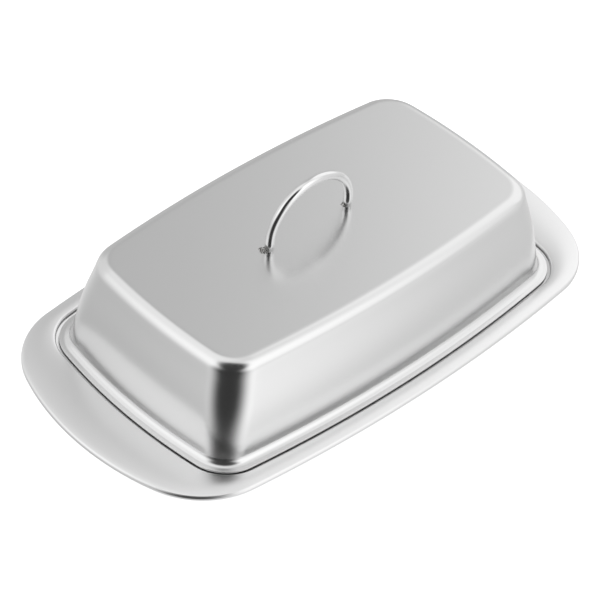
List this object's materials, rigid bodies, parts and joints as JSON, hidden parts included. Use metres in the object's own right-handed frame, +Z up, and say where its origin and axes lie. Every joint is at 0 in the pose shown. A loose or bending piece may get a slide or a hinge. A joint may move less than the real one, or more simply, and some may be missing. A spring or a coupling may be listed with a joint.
{
  "type": "butter dish",
  "caption": "Pressed steel butter dish: an oblong tray with wide end rims, a flat recessed seat and a lift-off tapered cover with a bent wire handle.",
  "frame": {"origin": "middle of the dish's flat base, on the surface that it rests on", "axes": "+X along the dish towards its right end, +Y across it towards the back, +Z up; the front long side faces -Y"},
  "size_m": [0.195, 0.106, 0.0622],
  "materials": {
    "satin_steel": "fine satin brushed",
    "polished_steel": "polished wire",
    "weld_metal": "dull heat-darkened weld"
  },
  "bodies": {
    "dish": {"tray": "satin_steel"},
    "cover": {"cover": "satin_steel", "handle": "polished_steel", "handle_weld_left": "weld_metal", "handle_weld_right": "weld_metal"}
  },
  "joints": [
    {"name": "cover_lift", "type": "slide", "parent": "dish", "child": "cover", "axis": [0, 0, 1], "range_m": [0, 0.08]}
  ]
}
